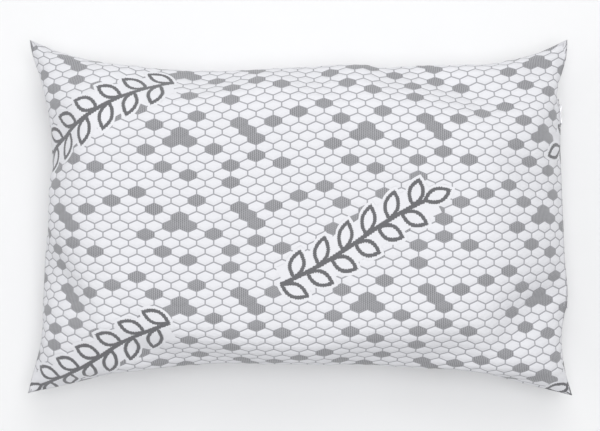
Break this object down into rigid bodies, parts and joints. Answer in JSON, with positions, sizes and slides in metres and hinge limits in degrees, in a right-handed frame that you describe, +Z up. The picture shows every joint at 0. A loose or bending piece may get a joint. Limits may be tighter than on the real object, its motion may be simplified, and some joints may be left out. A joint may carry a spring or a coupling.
{
  "type": "bed pillow",
  "caption": "Plump rectangular bed pillow with drawn-in edges and pointed corners, a removable patterned knit cover and a zipper along one short edge.",
  "frame": {"origin": "on the floor under the middle of the pillow, centred on its outline", "axes": "+X along the pillow's length, towards the zipper edge; +Y across its width; +Z up through its thickness"},
  "size_m": [0.744, 0.487, 0.175],
  "materials": {
    "knit_cover": "soft double knit, white with a grey honeycomb pattern",
    "white_thread": "spun polyester thread",
    "zipper_tape": "herringbone woven tape",
    "zipper_coil": "nylon coil",
    "zipper_metal": "satin nickel-plated die-cast zinc",
    "label_ribbon": "smooth satin ribbon, blank",
    "liner_cloth": "plain woven cloth",
    "shredded_foam": "loose shredded foam"
  },
  "bodies": {
    "pillow": {"cover_top_panel": "knit_cover", "cover_bottom_panel": "knit_cover", "cover_seam_overlock": "white_thread", "zipper_tape_upper": "zipper_tape", "zipper_tape_lower": "zipper_tape", "zipper_coil_upper": "zipper_coil", "zipper_coil_lower": "zipper_coil", "zipper_top_stop_upper": "zipper_metal", "zipper_top_stop_lower": "zipper_metal", "zipper_bottom_stop": "zipper_metal", "zipper_end_tack_front": "white_thread", "zipper_end_tack_back": "white_thread", "zipper_stitching_upper": "white_thread", "zipper_stitching_lower": "white_thread", "care_label": "label_ribbon", "liner_top_panel": "liner_cloth", "liner_bottom_panel": "liner_cloth", "liner_seam_overlock": "white_thread", "foam_fill": "shredded_foam"},
    "slider": {"zipper_slider": "zipper_metal"},
    "pull_tab": {"zipper_pull_tab": "zipper_metal"}
  },
  "joints": [
    {"name": "slider_slide", "type": "slide", "parent": "pillow", "child": "slider", "axis": [0.041, -0.9992, 0], "range_m": [0, 0.2629]},
    {"name": "pull_tab_hinge", "type": "hinge", "parent": "slider", "child": "pull_tab", "pos_m": [0.35598, 0.1495, 0.075], "axis": [0, 0, 1], "range_deg": [0, 180]}
  ]
}
